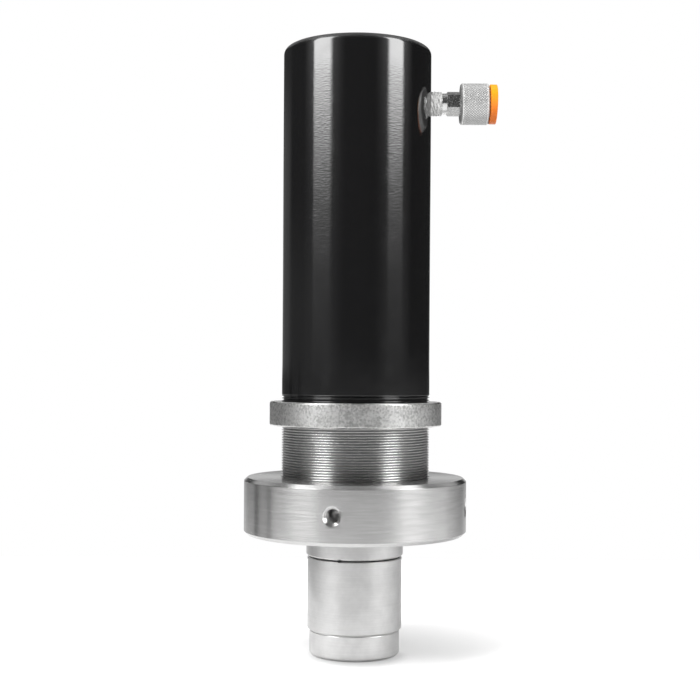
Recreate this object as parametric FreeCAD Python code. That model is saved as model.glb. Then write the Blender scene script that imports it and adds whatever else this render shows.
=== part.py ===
"""Single-acting press cylinder with a spring return, built piece by piece, in millimetres.

The cylinder stands on its ram head with the ram drawn in. Z runs up the cylinder's axis from the
bottom face of the pressure pad, and +X points the way the hose coupler sticks out.
"""
import FreeCAD, Part
import math
import os

# Barrel, bored right through and closed at the top by a screwed cap
bore_d = 95.0
barrel_wall = 10.0
barrel_length = 371.2
barrel_top_round = 5.0
barrel_foot_chamfer = 1.0
barrel_thread_length = 98.6
thread_relief_depth = 1.2
thread_relief_width = 0.8
cap_thread_depth = 2.5
cap_thread_length = 16.0
cap_height = 28.0
cap_edge_chamfer = 0.8
spanner_hole_d = 8.0
spanner_hole_depth = 9.0
cap_spanner_pitch_d = 60.0

# Ram head and pad, which carry the cylinder while it stands
pad_d = 70.0
pad_height = 19.1
pad_edge_chamfer = 1.8
pad_stem_d = 32.0
pad_stem_length = 16.0
pad_stem_chamfer = 1.0
head_d = 73.5
head_height = 56.7
head_edge_chamfer = 1.8
head_top_chamfer = 0.6
seam_gap = 1.1

# Rod, with a threaded spigot at each end
rod_d = 60.0
rod_head_spigot_d = 36.0
rod_head_spigot_length = 34.0
rod_piston_spigot_d = 45.0
rod_edge_chamfer = 1.0

# Piston, its nut and the stroke
piston_height = 45.0
piston_edge_chamfer = 2.0
piston_nut_across_flats = 65.0
piston_nut_height = 18.0
nut_to_cap_gap = 3.0
ram_stroke = 150.0

# Gland, screwed into the barrel's foot
gland_thread_depth = 2.0
gland_thread_length = 27.0
gland_height = 50.0
gland_nose_width = 7.7
gland_nose_length = 16.9
gland_nose_chamfer = 1.2
gland_spanner_hole_d = 4.0
gland_spanner_inset = 4.0
vent_d = 3.0
vent_angle = 45.0

# Return spring and the sleeve that stops the stroke
spring_wire_d = 8.0
spring_turns = 7
spring_to_sleeve_gap = 1.25
stop_sleeve_wall = 3.1

# Mounting flange and lock ring, both on the barrel's thread
flange_width = 29.0
flange_height = 43.9
flange_lip_height = 6.0
flange_lip_cover = 2.5
flange_edge_chamfer = 2.6
thread_mouth_chamfer = 1.2
side_hole_count = 4
side_hole_first_angle = -101.25
side_hole_tap_d = 10.2
side_hole_mouth_d = 13.6
side_hole_depth = 22.0
drill_point_angle = 118.0
lock_ring_width = 9.5
lock_ring_height = 18.8
lock_ring_edge_chamfer = 1.0
plate_gap = 40.0

# Rings and seals, each with the groove that it lies in
groove_play = 0.1
cap_seal_depth = 2.8
cap_seal_width = 4.6
gland_seal_depth = 2.8
gland_seal_width = 4.6
gland_seal_from_top = 8.0
bearing_depth = 2.5
bearing_width = 15.0
bearing_from_top = 10.0
wiper_depth = 5.0
wiper_width = 7.0
wiper_lip_reach = 0.7
wiper_lip_width = 1.6
wiper_root_width = 2.6
wiper_root_depth = 1.4
wiper_relief = 1.2
wiper_relief_depth = 2.6
piston_seal_depth = 7.5
piston_seal_width = 11.0
piston_seal_from_top = 7.0
cup_foot_round = 0.6
cup_foot_rise = 1.0
cup_lip_chamfer = 1.0
cup_lip_setback = 0.4
cup_heel_height = 4.5
backup_width = 3.0
wear_ring_depth = 2.5
wear_ring_width = 12.0
wear_ring_from_foot = 7.0
rod_seal_depth = 2.6
rod_seal_width = 4.4
rod_seal_from_foot = 20.0
pad_ring_depth = 2.0
pad_ring_width = 3.6
pad_ring_from_end = 5.0
lock_screw_d = 8.0
lock_screw_length = 12.0
lock_screw_height = 58.0
lock_screw_key = 4.0
lock_screw_tip_chamfer = 1.0
lock_screw_mouth_chamfer = 0.5

# Hose coupler half, along +X through the barrel's wall
port_below_top = 41.6
port_thread_d = 16.6
port_mouth_d = 18.4
nipple_thread_reach = 8.2
nipple_neck_d = 16.2
nipple_neck_length = 4.0
hex_across_flats = 17.0
hex_length = 10.3
hex_turn = 54.7
nipple_end_inset = 1.0
nipple_end_chamfer = 1.0
hex_core_inset = 1.0
nose_d = 17.0
nose_length = 18.2
nose_tip_d = 14.0
nose_tip_length = 5.0
nose_tip_slope = 1.5
nose_tip_chamfer = 0.8
valve_bore_d = 11.0
valve_seat_d = 6.4
valve_mouth_d = 9.0
valve_mouth_depth = 3.0
valve_seat_land = 0.6
valve_seat_height = 3.2
valve_seat_gap = 0.4
poppet_fit = 0.1
poppet_length = 9.0
poppet_nose_reach = 2.2
poppet_nose_chamfer = 0.6
poppet_flute_count = 4
poppet_flute_d = 3.0
valve_spring_mean_d = 7.4
valve_spring_wire_d = 0.9
valve_spring_turns = 5
valve_disc_inset = 2.0
valve_disc_height = 2.5
valve_disc_holes = 5
valve_disc_hole_d = 2.2
valve_disc_hole_pitch_d = 6.2
tape_thickness = 0.55
tape_ridges = 3
tape_ridge_height = 0.35
tape_ridge_rise = 1 / 3
tape_ridge_fall = 0.9
collar_d = 32.0
collar_length = 21.8
collar_edge_chamfer = 1.1
collar_mouth_chamfer = 0.8
collar_lip = 4.0
collar_thread_d = 25.6
collar_gap = 0.35
snap_ring_height = 1.5
snap_ring_groove_depth = 0.9
snap_ring_reach = 1.3
plug_flange_d = 30.6
plug_flange_height = 5.7
plug_flange_round = 0.7
plug_flange_gap = 0.9
plug_shank_d = 24.9
plug_shank_length = 7.0
plug_shank_chamfer = 0.6
plug_wall = 2.0

# Clearances
running_fit = 0.05
thread_fit = 0.06
rubber_fit = 0.04
free_gap = 0.3
sleeve_fit = 0.4
stop_gap = 0.3

# How far a drill reaches past the surfaces that it cuts
cutter_reach = 5.0

# Diameters that follow from the sizes
barrel_d = bore_d + 2 * barrel_wall
cap_thread_d = bore_d + 2 * cap_thread_depth
gland_thread_d = bore_d + 2 * gland_thread_depth
gland_nose_d = rod_d + 2 * gland_nose_width
flange_d = barrel_d + 2 * flange_width
flange_lip_bore_d = gland_thread_d - 2 * flange_lip_cover
gland_spanner_pitch_d = flange_lip_bore_d - 2 * gland_spanner_inset
lock_ring_d = barrel_d + 2 * lock_ring_width
stop_sleeve_d = rod_d + 2 * (sleeve_fit + stop_sleeve_wall)
spring_mean_d = stop_sleeve_d + 2 * spring_to_sleeve_gap + spring_wire_d

# Heights up the axis that follow from the sizes
head_foot_z = pad_height
head_top_z = head_foot_z + head_height
gland_nose_z = head_top_z + seam_gap
flange_foot_z = gland_nose_z + gland_nose_length
flange_top_z = flange_foot_z + flange_height
barrel_foot_z = flange_foot_z + flange_lip_height
barrel_top_z = barrel_foot_z + barrel_length
lock_ring_z = flange_top_z + plate_gap
gland_top_z = barrel_foot_z + gland_height
cap_foot_z = barrel_top_z - cap_height
nut_top_z = cap_foot_z - nut_to_cap_gap
piston_top_z = nut_top_z - piston_nut_height
piston_foot_z = piston_top_z - piston_height
port_z = barrel_top_z - port_below_top

# Stations along the coupler, measured from the cylinder's axis
barrel_skin_x = barrel_d / 2
nipple_end_x = bore_d / 2 + nipple_end_inset
thread_end_x = barrel_skin_x + nipple_thread_reach
hex_x = thread_end_x + nipple_neck_length
nose_x = hex_x + hex_length
collar_x = nose_x + collar_gap
collar_end_x = collar_x + collar_length
snap_ring_x = collar_x + collar_lip + free_gap
nose_end_x = nose_x + nose_length
valve_seat_x = nose_end_x - valve_mouth_depth
valve_cone_x = valve_seat_x - valve_seat_height
plug_x = collar_end_x + plug_flange_gap

up = FreeCAD.Vector(0, 0, 1)
origin = FreeCAD.Vector(0, 0, 0)


def turned(points):
    """A turned piece: a profile of (radius, height) points spun about Z."""
    corners = [FreeCAD.Vector(r, 0, z) for r, z in points]
    face = Part.Face(Part.makePolygon(corners + corners[:1]))
    return face.revolve(origin, up, 360)


def rod_between(diameter, low, high, x=0.0, y=0.0):
    """A plain round bar, upright, between two heights."""
    return Part.makeCylinder(diameter / 2, high - low, FreeCAD.Vector(x, y, low), up)


def tube_between(inner_d, outer_d, low, high):
    """A plain tube, upright, between two heights."""
    return turned([(inner_d / 2, low), (outer_d / 2, low), (outer_d / 2, high), (inner_d / 2, high)])


def packing_ring(inner_r, outer_r, low, high):
    """A rubber ring pressed nearly square in its groove, with its corners broken."""
    corner = min(outer_r - inner_r, high - low) / 4
    return turned([
        (inner_r, low + corner), (inner_r + corner, low), (outer_r - corner, low), (outer_r, low + corner),
        (outer_r, high - corner), (outer_r - corner, high), (inner_r + corner, high), (inner_r, high - corner),
    ])


def around(count, first_angle, radius):
    """Places spaced evenly on a circle."""
    for step in range(count):
        angle = math.radians(first_angle + 360.0 * step / count)
        yield math.cos(angle) * radius, math.sin(angle) * radius


def hex_prism(across_flats, low, high, turn=0.0):
    """An upright hexagon bar between two heights."""
    corner_r = across_flats / math.sqrt(3)
    corners = [FreeCAD.Vector(x, y, low) for x, y in around(6, turn, corner_r)]
    return Part.Face(Part.makePolygon(corners + corners[:1])).extrude(up * (high - low))


def chamfered_hex(across_flats, low, high, turn=0.0):
    """A hexagon bar with its corners turned off at both ends, as on a nut."""
    corner_r = across_flats / math.sqrt(3)
    flat_r = across_flats / 2
    rise = (corner_r - flat_r) * math.tan(math.radians(30))
    turning = turned([
        (0, low), (flat_r, low), (corner_r, low + rise),
        (corner_r, high - rise), (flat_r, high), (0, high),
    ])
    return hex_prism(across_flats, low, high, turn).common(turning)


def coil_spring(mean_d, wire_d, turns, low, high):
    """An open coil spring with both ends ground flat."""
    pitch = (high - low) / turns
    helix = Part.makeHelix(pitch, high - low + pitch, mean_d / 2)
    helix.translate(FreeCAD.Vector(0, 0, low - pitch / 2))
    start = FreeCAD.Vector(mean_d / 2, 0, low - pitch / 2)
    heading = FreeCAD.Vector(0, math.pi * mean_d, pitch)
    section = Part.Wire(Part.Edge(Part.Circle(start, heading, wire_d / 2)))
    coil = Part.Wire(helix).makePipeShell([section], True, True)
    return coil.common(tube_between(mean_d - 2 * wire_d, mean_d + 2 * wire_d, low, high))


def along_x(shape):
    """Lays a piece that was turned about Z along +X at the port's height."""
    laid = shape.copy()
    laid.rotate(origin, FreeCAD.Vector(0, 1, 0), 90)
    laid.translate(FreeCAD.Vector(0, 0, port_z))
    return laid


# Barrel and end cap
def make_barrel():
    outer_r = barrel_d / 2
    bore_r = bore_d / 2
    cap_thread_r = cap_thread_d / 2
    gland_thread_r = gland_thread_d / 2
    thread_end_z = barrel_foot_z + barrel_thread_length
    relief_r = outer_r - thread_relief_depth
    relief_z = thread_end_z + thread_relief_depth
    body = turned([
        (gland_thread_r, barrel_foot_z),
        (outer_r - barrel_foot_chamfer, barrel_foot_z),
        (outer_r, barrel_foot_z + barrel_foot_chamfer),
        (outer_r, thread_end_z),
        (relief_r, relief_z),
        (relief_r, relief_z + thread_relief_width),
        (outer_r, relief_z + thread_relief_width + thread_relief_depth),
        (outer_r, barrel_top_z),
        (cap_thread_r + cap_edge_chamfer, barrel_top_z),
        (cap_thread_r, barrel_top_z - cap_edge_chamfer),
        (cap_thread_r, barrel_top_z - cap_thread_length),
        (bore_r, barrel_top_z - cap_thread_length),
        (bore_r, barrel_foot_z + gland_thread_length),
        (gland_thread_r, barrel_foot_z + gland_thread_length),
    ])
    rim = [
        edge for edge in body.Edges
        if abs(edge.BoundBox.ZMin - barrel_top_z) < 1e-6 and abs(edge.BoundBox.XMax - outer_r) < 1e-6
    ]
    rim_width = outer_r - cap_thread_r - cap_edge_chamfer
    body = body.makeFillet(min(barrel_top_round, 0.9 * rim_width), rim)
    port_r = port_thread_d / 2
    mouth_x = outer_r - (port_mouth_d - port_thread_d) / 2
    port = turned([
        (0, bore_r - cutter_reach), (port_r, bore_r - cutter_reach), (port_r, mouth_x),
        (port_r + cutter_reach, mouth_x + cutter_reach), (0, mouth_x + cutter_reach),
    ])
    return body.cut(along_x(port))


def make_end_cap():
    thread_r = cap_thread_d / 2 - thread_fit
    pilot_r = bore_d / 2 - running_fit
    groove_r = pilot_r - cap_seal_depth
    shoulder_z = barrel_top_z - cap_thread_length + free_gap
    groove_z = (cap_foot_z + shoulder_z - cap_seal_width) / 2
    cap = turned([
        (0, cap_foot_z), (pilot_r, cap_foot_z),
        (pilot_r, groove_z), (groove_r, groove_z),
        (groove_r, groove_z + cap_seal_width), (pilot_r, groove_z + cap_seal_width),
        (pilot_r, shoulder_z), (thread_r, shoulder_z),
        (thread_r, barrel_top_z - cap_edge_chamfer),
        (thread_r - cap_edge_chamfer, barrel_top_z), (0, barrel_top_z),
    ])
    for x, y in around(2, 90.0, cap_spanner_pitch_d / 2):
        cap = cap.cut(rod_between(spanner_hole_d, barrel_top_z - spanner_hole_depth, barrel_top_z, x, y))
    seal = packing_ring(
        groove_r, bore_d / 2 - rubber_fit, groove_z + groove_play, groove_z + cap_seal_width - groove_play
    )
    return cap, seal


# Gland with its rings, the spring and the stop sleeve
def make_gland():
    thread_r = gland_thread_d / 2 - thread_fit
    pilot_r = bore_d / 2 - running_fit
    nose_r = gland_nose_d / 2
    bore_r = rod_d / 2 + running_fit
    shoulder_z = barrel_foot_z + gland_thread_length - free_gap
    seal_z = gland_top_z - gland_seal_from_top - gland_seal_width
    bearing_z = gland_top_z - bearing_from_top - bearing_width
    wiper_r = bore_r + wiper_depth
    wiper_z = gland_nose_z + wiper_width
    gland = turned([
        (wiper_r, gland_nose_z),
        (nose_r - gland_nose_chamfer, gland_nose_z), (nose_r, gland_nose_z + gland_nose_chamfer),
        (nose_r, barrel_foot_z), (thread_r, barrel_foot_z),
        (thread_r, shoulder_z), (pilot_r, shoulder_z),
        (pilot_r, seal_z), (pilot_r - gland_seal_depth, seal_z),
        (pilot_r - gland_seal_depth, seal_z + gland_seal_width), (pilot_r, seal_z + gland_seal_width),
        (pilot_r, gland_top_z), (bore_r, gland_top_z),
        (bore_r, bearing_z + bearing_width), (bore_r + bearing_depth, bearing_z + bearing_width),
        (bore_r + bearing_depth, bearing_z), (bore_r, bearing_z),
        (bore_r, wiper_z), (wiper_r, wiper_z),
    ])
    for x, y in around(4, 0.0, gland_spanner_pitch_d / 2):
        hole = rod_between(gland_spanner_hole_d, barrel_foot_z, barrel_foot_z + spanner_hole_depth, x, y)
        gland = gland.cut(hole)
    for x, y in around(1, vent_angle, gland_spanner_pitch_d / 2):
        gland = gland.cut(rod_between(vent_d, barrel_foot_z, gland_top_z, x, y))
    seal = packing_ring(
        pilot_r - gland_seal_depth, bore_d / 2 - rubber_fit,
        seal_z + groove_play, seal_z + gland_seal_width - groove_play,
    )
    bearing = tube_between(
        rod_d + 2 * running_fit, 2 * (bore_r + bearing_depth),
        bearing_z + groove_play, bearing_z + bearing_width - groove_play,
    )
    lip_r = bore_r
    lip_z = gland_nose_z - wiper_lip_reach
    root_z = gland_nose_z + wiper_root_depth
    wiper = turned([
        (lip_r, lip_z), (lip_r + wiper_lip_width, lip_z),
        (lip_r + wiper_root_width, root_z), (wiper_r, root_z),
        (wiper_r, wiper_z - groove_play), (lip_r + wiper_relief, wiper_z - groove_play),
        (lip_r + wiper_relief, gland_nose_z + wiper_relief_depth),
    ])
    return gland, seal, bearing, wiper


def make_stop_sleeve():
    top_z = piston_foot_z - ram_stroke - stop_gap
    return tube_between(rod_d + 2 * sleeve_fit, stop_sleeve_d, gland_top_z, top_z)


def make_return_spring():
    return coil_spring(spring_mean_d, spring_wire_d, spring_turns, gland_top_z, piston_foot_z)


# Mounting flange and lock ring
def make_mounting_flange():
    outer_r = flange_d / 2
    thread_r = barrel_d / 2 + thread_fit
    lip_r = flange_lip_bore_d / 2
    edge = flange_edge_chamfer
    flange = turned([
        (lip_r, flange_foot_z), (outer_r - edge, flange_foot_z), (outer_r, flange_foot_z + edge),
        (outer_r, flange_top_z - edge), (outer_r - edge, flange_top_z),
        (thread_r + thread_mouth_chamfer, flange_top_z), (thread_r, flange_top_z - thread_mouth_chamfer),
        (thread_r, barrel_foot_z), (lip_r, barrel_foot_z),
    ])
    middle_z = (flange_foot_z + flange_top_z) / 2
    mouth_depth = (side_hole_mouth_d - side_hole_tap_d) / 2
    tap_r = side_hole_tap_d / 2
    mouth_x = outer_r - mouth_depth
    root_x = outer_r - side_hole_depth
    point_length = tap_r / math.tan(math.radians(drill_point_angle / 2))
    drill = turned([
        (0, root_x - point_length), (tap_r, root_x), (tap_r, mouth_x),
        (tap_r + cutter_reach, mouth_x + cutter_reach), (0, mouth_x + cutter_reach),
    ])
    drill.rotate(origin, FreeCAD.Vector(0, 1, 0), 90)
    drill.translate(FreeCAD.Vector(0, 0, middle_z))
    for step in range(side_hole_count):
        hole = drill.copy()
        hole.rotate(origin, up, side_hole_first_angle + 360.0 * step / side_hole_count)
        flange = flange.cut(hole)
    return flange


def make_lock_ring():
    outer_r = lock_ring_d / 2
    thread_r = barrel_d / 2 + thread_fit
    top_z = lock_ring_z + lock_ring_height
    edge = lock_ring_edge_chamfer
    mouth = thread_mouth_chamfer
    return turned([
        (thread_r + mouth, lock_ring_z), (outer_r - edge, lock_ring_z), (outer_r, lock_ring_z + edge),
        (outer_r, top_z - edge), (outer_r - edge, top_z),
        (thread_r + mouth, top_z), (thread_r, top_z - mouth), (thread_r, lock_ring_z + mouth),
    ])


# Rod, head and pad
def make_rod():
    rod_r = rod_d / 2
    head_r = rod_head_spigot_d / 2
    piston_r = rod_piston_spigot_d / 2
    chamfer = rod_edge_chamfer
    foot_z = head_top_z - rod_head_spigot_length
    seal_z = piston_foot_z + rod_seal_from_foot
    rod = turned([
        (0, foot_z), (head_r - chamfer, foot_z), (head_r, foot_z + chamfer), (head_r, head_top_z),
        (rod_r - chamfer, head_top_z), (rod_r, head_top_z + chamfer),
        (rod_r, piston_foot_z), (piston_r, piston_foot_z),
        (piston_r, seal_z), (piston_r - rod_seal_depth, seal_z),
        (piston_r - rod_seal_depth, seal_z + rod_seal_width), (piston_r, seal_z + rod_seal_width),
        (piston_r, nut_top_z - chamfer), (piston_r - chamfer, nut_top_z), (0, nut_top_z),
    ])
    seal = packing_ring(
        piston_r - rod_seal_depth, piston_r + running_fit - rubber_fit,
        seal_z + groove_play, seal_z + rod_seal_width - groove_play,
    )
    return rod, seal


def make_ram_head():
    outer_r = head_d / 2
    spigot_r = rod_head_spigot_d / 2 + thread_fit
    stem_r = pad_stem_d / 2 + running_fit
    edge = head_edge_chamfer
    top_edge = head_top_chamfer
    spigot_foot_z = head_top_z - rod_head_spigot_length - free_gap
    stem_top_z = head_foot_z + pad_stem_length + free_gap
    groove_z = head_foot_z + pad_stem_length - pad_ring_from_end - pad_ring_width
    head = turned([
        (stem_r, head_foot_z), (outer_r - edge, head_foot_z), (outer_r, head_foot_z + edge),
        (outer_r, head_top_z - top_edge), (outer_r - top_edge, head_top_z),
        (spigot_r, head_top_z), (spigot_r, spigot_foot_z), (0, spigot_foot_z),
        (0, stem_top_z), (stem_r, stem_top_z),
        (stem_r, groove_z + pad_ring_width), (stem_r + pad_ring_depth / 2, groove_z + pad_ring_width),
        (stem_r + pad_ring_depth / 2, groove_z), (stem_r, groove_z),
    ])
    screw_bore = rod_between(
        lock_screw_d + 2 * thread_fit, rod_head_spigot_d / 2, outer_r + cutter_reach
    )
    return head.cut(lock_screw_place(screw_bore))


def lock_screw_place(shape):
    """Lays a piece along +Y, through the back of the ram head."""
    laid = shape.copy()
    laid.rotate(origin, FreeCAD.Vector(1, 0, 0), -90)
    laid.translate(FreeCAD.Vector(0, 0, lock_screw_height))
    return laid


def make_head_lock_screw():
    tip = rod_head_spigot_d / 2 + 2 * thread_fit
    end = tip + lock_screw_length
    radius = lock_screw_d / 2
    chamfer = lock_screw_tip_chamfer
    mouth = lock_screw_mouth_chamfer
    screw = turned([
        (0, tip), (radius - chamfer, tip), (radius, tip + chamfer),
        (radius, end - mouth), (radius - mouth, end), (0, end),
    ])
    socket = hex_prism(lock_screw_key, end - lock_screw_key, end)
    return lock_screw_place(screw.cut(socket))


def make_pressure_pad():
    pad_r = pad_d / 2
    stem_r = pad_stem_d / 2
    groove_r = stem_r - pad_ring_depth
    stem_top_z = pad_height + pad_stem_length
    groove_z = stem_top_z - pad_ring_from_end - pad_ring_width
    edge = pad_edge_chamfer
    pad = turned([
        (0, 0), (pad_r - edge, 0), (pad_r, edge), (pad_r, pad_height), (stem_r, pad_height),
        (stem_r, groove_z), (groove_r, groove_z),
        (groove_r, groove_z + pad_ring_width), (stem_r, groove_z + pad_ring_width),
        (stem_r, stem_top_z - pad_stem_chamfer), (stem_r - pad_stem_chamfer, stem_top_z),
        (0, stem_top_z),
    ])
    ring = packing_ring(
        groove_r, stem_r + pad_ring_depth / 2,
        groove_z + groove_play, groove_z + pad_ring_width - groove_play,
    )
    return pad, ring


# Piston with its rings and nut
def make_piston():
    outer_r = bore_d / 2 - running_fit
    spigot_r = rod_piston_spigot_d / 2 + running_fit
    seal_r = outer_r - piston_seal_depth
    wear_r = outer_r - wear_ring_depth
    seal_top_z = piston_top_z - piston_seal_from_top
    seal_foot_z = seal_top_z - piston_seal_width
    backup_foot_z = seal_foot_z - backup_width
    wear_z = piston_foot_z + wear_ring_from_foot
    piston = turned([
        (spigot_r, piston_foot_z), (outer_r, piston_foot_z),
        (outer_r, wear_z), (wear_r, wear_z),
        (wear_r, wear_z + wear_ring_width), (outer_r, wear_z + wear_ring_width),
        (outer_r, backup_foot_z), (seal_r, backup_foot_z),
        (seal_r, seal_top_z), (outer_r, seal_top_z),
        (outer_r, piston_top_z - piston_edge_chamfer), (outer_r - piston_edge_chamfer, piston_top_z),
        (spigot_r, piston_top_z),
    ])
    heel = piston_seal_depth / 3
    lip = cup_lip_chamfer
    lip_z = seal_top_z - cup_lip_setback
    heel_z = seal_foot_z + cup_heel_height
    cup = turned([
        (seal_r, seal_foot_z), (outer_r - cup_foot_round, seal_foot_z),
        (outer_r, seal_foot_z + cup_foot_rise),
        (outer_r, seal_top_z - lip), (outer_r - lip, lip_z),
        (outer_r - heel, heel_z), (seal_r + heel, heel_z),
        (seal_r + lip, lip_z), (seal_r, seal_top_z - lip),
    ])
    backup = tube_between(2 * seal_r, 2 * outer_r, backup_foot_z, seal_foot_z)
    wear = tube_between(
        2 * wear_r, 2 * outer_r, wear_z + groove_play, wear_z + wear_ring_width - groove_play
    )
    return piston, cup, backup, wear


def make_piston_nut():
    nut = chamfered_hex(piston_nut_across_flats, piston_top_z, nut_top_z)
    return nut.cut(rod_between(rod_piston_spigot_d + 2 * thread_fit, piston_top_z, nut_top_z))


# Hose coupler half
def make_coupler_body():
    thread_r = port_thread_d / 2 - thread_fit
    neck_r = nipple_neck_d / 2
    nose_r = nose_d / 2
    tip_r = nose_tip_d / 2
    core_r = hex_across_flats / 2 - hex_core_inset
    end_chamfer = nipple_end_chamfer
    tip_x = nose_end_x - nose_tip_length
    groove_r = nose_r - snap_ring_groove_depth
    groove_x = snap_ring_x - groove_play / 2
    groove_end_x = snap_ring_x + snap_ring_height + groove_play / 2
    outline = turned([
        (0, nipple_end_x), (thread_r - end_chamfer, nipple_end_x),
        (thread_r, nipple_end_x + end_chamfer),
        (thread_r, thread_end_x), (neck_r, thread_end_x), (neck_r, hex_x),
        (core_r, hex_x), (core_r, nose_x), (nose_r, nose_x),
        (nose_r, groove_x), (groove_r, groove_x),
        (groove_r, groove_end_x), (nose_r, groove_end_x),
        (nose_r, tip_x), (tip_r, tip_x + nose_tip_slope),
        (tip_r, nose_end_x - nose_tip_chamfer), (tip_r - nose_tip_chamfer, nose_end_x),
        (0, nose_end_x),
    ])
    body = outline.fuse(chamfered_hex(hex_across_flats, hex_x, nose_x, hex_turn))
    bore = turned([
        (0, nipple_end_x - cutter_reach), (valve_bore_d / 2, nipple_end_x - cutter_reach),
        (valve_bore_d / 2, valve_cone_x), (valve_seat_d / 2, valve_seat_x - valve_seat_land),
        (valve_seat_d / 2, valve_seat_x), (valve_mouth_d / 2, valve_seat_x),
        (valve_mouth_d / 2, nose_end_x + cutter_reach), (0, nose_end_x + cutter_reach),
    ])
    return along_x(body.cut(bore).removeSplitter())


def make_collar_snap_ring():
    """The split ring in the nose's groove that keeps the collar on."""
    inner_d = nose_d - 2 * snap_ring_groove_depth
    outer_d = nose_d + 2 * snap_ring_reach
    ring = tube_between(inner_d, outer_d, snap_ring_x, snap_ring_x + snap_ring_height)
    split = Part.makeBox(
        snap_ring_reach, outer_d, snap_ring_height,
        FreeCAD.Vector(-snap_ring_reach / 2, 0, snap_ring_x),
    )
    return along_x(ring.cut(split))


def make_thread_tape():
    """Sealing tape wound on the thread outside the port, with a few ridges of its turns."""
    inner_r = port_thread_d / 2 - thread_fit
    outer_r = inner_r + tape_thickness
    start_x = barrel_skin_x + free_gap
    step = (thread_end_x - start_x) / tape_ridges
    profile = [(inner_r, start_x), (outer_r, start_x)]
    for ridge in range(tape_ridges):
        ridge_x = start_x + ridge * step
        profile += [
            (outer_r + tape_ridge_height, ridge_x + step * tape_ridge_rise),
            (outer_r, ridge_x + step * tape_ridge_fall),
        ]
    profile += [(outer_r, thread_end_x), (inner_r, thread_end_x)]
    return along_x(turned(profile))


def make_coupler_collar():
    outer_r = collar_d / 2
    lip_r = nose_d / 2 + running_fit
    thread_r = collar_thread_d / 2
    edge = collar_edge_chamfer
    mouth = collar_mouth_chamfer
    collar = turned([
        (lip_r, collar_x), (outer_r - edge, collar_x), (outer_r, collar_x + edge),
        (outer_r, collar_end_x - edge), (outer_r - edge, collar_end_x),
        (thread_r + mouth, collar_end_x), (thread_r, collar_end_x - mouth),
        (thread_r, collar_x + collar_lip), (lip_r, collar_x + collar_lip),
    ])
    return along_x(collar)


def make_valve_parts():
    """The poppet that shuts the coupler, its spring and the perforated disc behind them."""
    body_r = valve_bore_d / 2 - poppet_fit
    nose_r = valve_seat_d / 2 - free_gap
    slope = (valve_seat_height - valve_seat_land) / (valve_bore_d / 2 - valve_seat_d / 2)
    cone_x = valve_cone_x + poppet_fit * slope - valve_seat_gap
    cone_end_x = cone_x + (body_r - nose_r) * slope
    nose_tip_x = valve_seat_x + poppet_nose_reach
    back_x = cone_x - poppet_length
    poppet = turned([
        (0, back_x), (body_r, back_x), (body_r, cone_x), (nose_r, cone_end_x),
        (nose_r, nose_tip_x - poppet_nose_chamfer), (nose_r - poppet_nose_chamfer, nose_tip_x),
        (0, nose_tip_x),
    ])
    for x, y in around(poppet_flute_count, 45.0, body_r):
        poppet = poppet.cut(rod_between(poppet_flute_d, back_x - cutter_reach, cone_end_x, x, y))
    disc_x = nipple_end_x + valve_disc_inset
    disc_end_x = disc_x + valve_disc_height
    disc = rod_between(valve_bore_d, disc_x, disc_end_x)
    for x, y in around(valve_disc_holes, 0.0, valve_disc_hole_pitch_d / 2):
        disc = disc.cut(rod_between(valve_disc_hole_d, disc_x, disc_end_x, x, y))
    spring = coil_spring(
        valve_spring_mean_d, valve_spring_wire_d, valve_spring_turns, disc_end_x, back_x
    )
    return along_x(poppet), along_x(spring), along_x(disc)


def make_dust_plug():
    """A moulded plug: a grip flange and a hollow shank that screws into the collar."""
    flange_r = plug_flange_d / 2
    shank_r = plug_shank_d / 2
    end_x = plug_x + plug_flange_height
    shank_x = plug_x - plug_shank_length
    edge = plug_flange_round
    chamfer = plug_shank_chamfer
    plug = turned([
        (shank_r - plug_wall, shank_x), (shank_r - chamfer, shank_x), (shank_r, shank_x + chamfer),
        (shank_r, plug_x), (flange_r - edge, plug_x), (flange_r, plug_x + edge),
        (flange_r, end_x - edge), (flange_r - edge, end_x), (0, end_x),
        (0, end_x - plug_wall), (shank_r - plug_wall, end_x - plug_wall),
    ])
    return along_x(plug)


def build():
    end_cap, end_cap_seal = make_end_cap()
    gland, gland_seal, rod_bearing, rod_wiper = make_gland()
    rod, rod_seal = make_rod()
    pressure_pad, pad_ring = make_pressure_pad()
    piston, piston_seal, backup_ring, wear_ring = make_piston()
    poppet, valve_spring, valve_disc = make_valve_parts()
    return {
        "barrel": make_barrel(),
        "end_cap": end_cap,
        "end_cap_o_ring": end_cap_seal,
        "mounting_flange": make_mounting_flange(),
        "lock_ring": make_lock_ring(),
        "gland": gland,
        "gland_o_ring": gland_seal,
        "rod_bearing": rod_bearing,
        "rod_wiper": rod_wiper,
        "stop_sleeve": make_stop_sleeve(),
        "return_spring": make_return_spring(),
        "ram_rod": rod,
        "rod_o_ring": rod_seal,
        "ram_head": make_ram_head(),
        "head_lock_screw": make_head_lock_screw(),
        "pressure_pad": pressure_pad,
        "pad_retaining_ring": pad_ring,
        "piston": piston,
        "piston_cup_seal": piston_seal,
        "piston_backup_ring": backup_ring,
        "piston_wear_ring": wear_ring,
        "piston_nut": make_piston_nut(),
        "coupler_body": make_coupler_body(),
        "thread_tape": make_thread_tape(),
        "collar_snap_ring": make_collar_snap_ring(),
        "coupler_collar": make_coupler_collar(),
        "valve_poppet": poppet,
        "valve_spring": valve_spring,
        "valve_spring_disc": valve_disc,
        "dust_plug": make_dust_plug(),
    }


os.makedirs("parts", exist_ok=True)
for name, shape in build().items():
    shape.exportStep("parts/" + name + ".step")
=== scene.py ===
"""Looks of the shop press cylinder: the pieces that show, their finishes, the stage and the lights.

Meshes are drawn in millimetres, with Z up the cylinder's axis, and scaled to metres when done.
"""
import bmesh
import bpy
import math
from mathutils import Matrix, Vector, noise


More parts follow.
